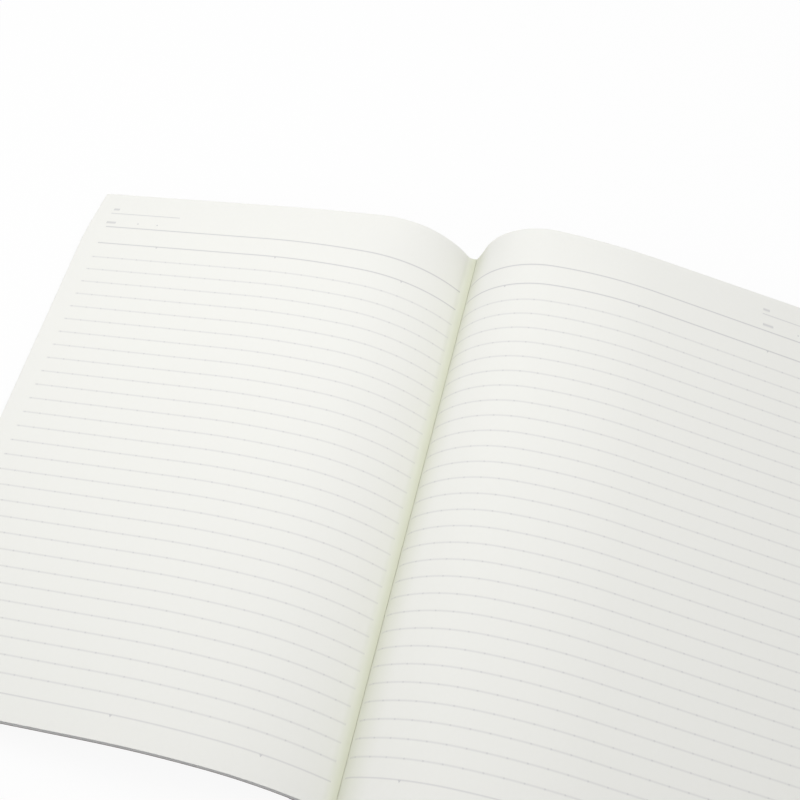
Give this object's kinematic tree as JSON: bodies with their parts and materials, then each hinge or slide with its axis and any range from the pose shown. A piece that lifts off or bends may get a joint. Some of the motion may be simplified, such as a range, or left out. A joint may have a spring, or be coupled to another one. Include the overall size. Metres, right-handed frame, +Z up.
{
  "type": "open composition notebook",
  "caption": "Soft-cover ruled notebook, glued at the spine, lying open near its middle with both halves arched up from the gutter.",
  "frame": {"origin": "middle of the spine's base, in the plane of the table the notebook lies on", "axes": "+X across the open pages to the right, +Y towards their head, +Z up from the table"},
  "size_m": [0.3508, 0.251, 0.0329],
  "materials": {
    "paper": "uncoated, faintly cream",
    "cover_card": "matt, brown mauve",
    "binding_tape": "fine woven cloth tape, dark brown",
    "binding_glue": "set adhesive, pale amber"
  },
  "bodies": {
    "back_half": {"right_pages": "paper", "back_cover": "cover_card", "spine_tape": "binding_tape", "spine_glue": "binding_glue"},
    "front_half": {"left_pages": "paper", "front_cover": "cover_card", "front_tape_flange": "binding_tape"}
  },
  "joints": [
    {"name": "front_cover_hinge", "type": "hinge", "parent": "back_half", "child": "front_half", "pos_m": [0, 0, 0.0044], "axis": [0, 1, 0], "range_deg": [0, 72]}
  ]
}
